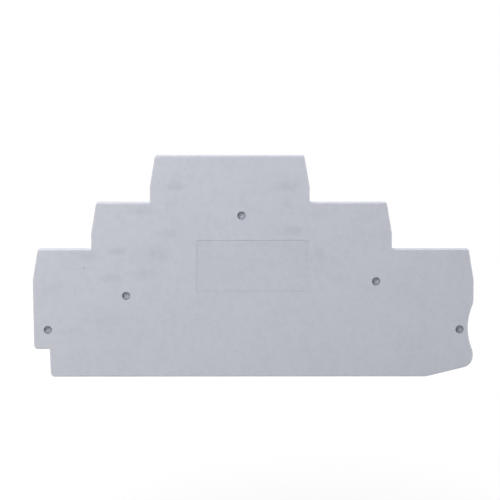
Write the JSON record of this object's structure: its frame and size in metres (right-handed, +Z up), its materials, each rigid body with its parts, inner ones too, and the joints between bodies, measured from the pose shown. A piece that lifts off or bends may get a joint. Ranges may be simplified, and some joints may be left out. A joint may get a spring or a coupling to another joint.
{
  "type": "terminal block end cover",
  "caption": "Thin stepped end cover for a multi-level rail terminal block: a plastic moulding with round press pins on its ribbed back.",
  "frame": {"origin": "on the seat face, at the middle of the cover's length and on its bottom edge", "axes": "+X along the cover's length, towards the notched end; +Y out of the seat face, the way the pins point; +Z up, from the bottom edge to the narrow top level. The plain front looks towards -Y"},
  "size_m": [0.0995, 0.0048, 0.0504],
  "materials": {
    "grey_plastic": "satin"
  },
  "bodies": {
    "root": {"end_cover": "grey_plastic"}
  },
  "joints": []
}
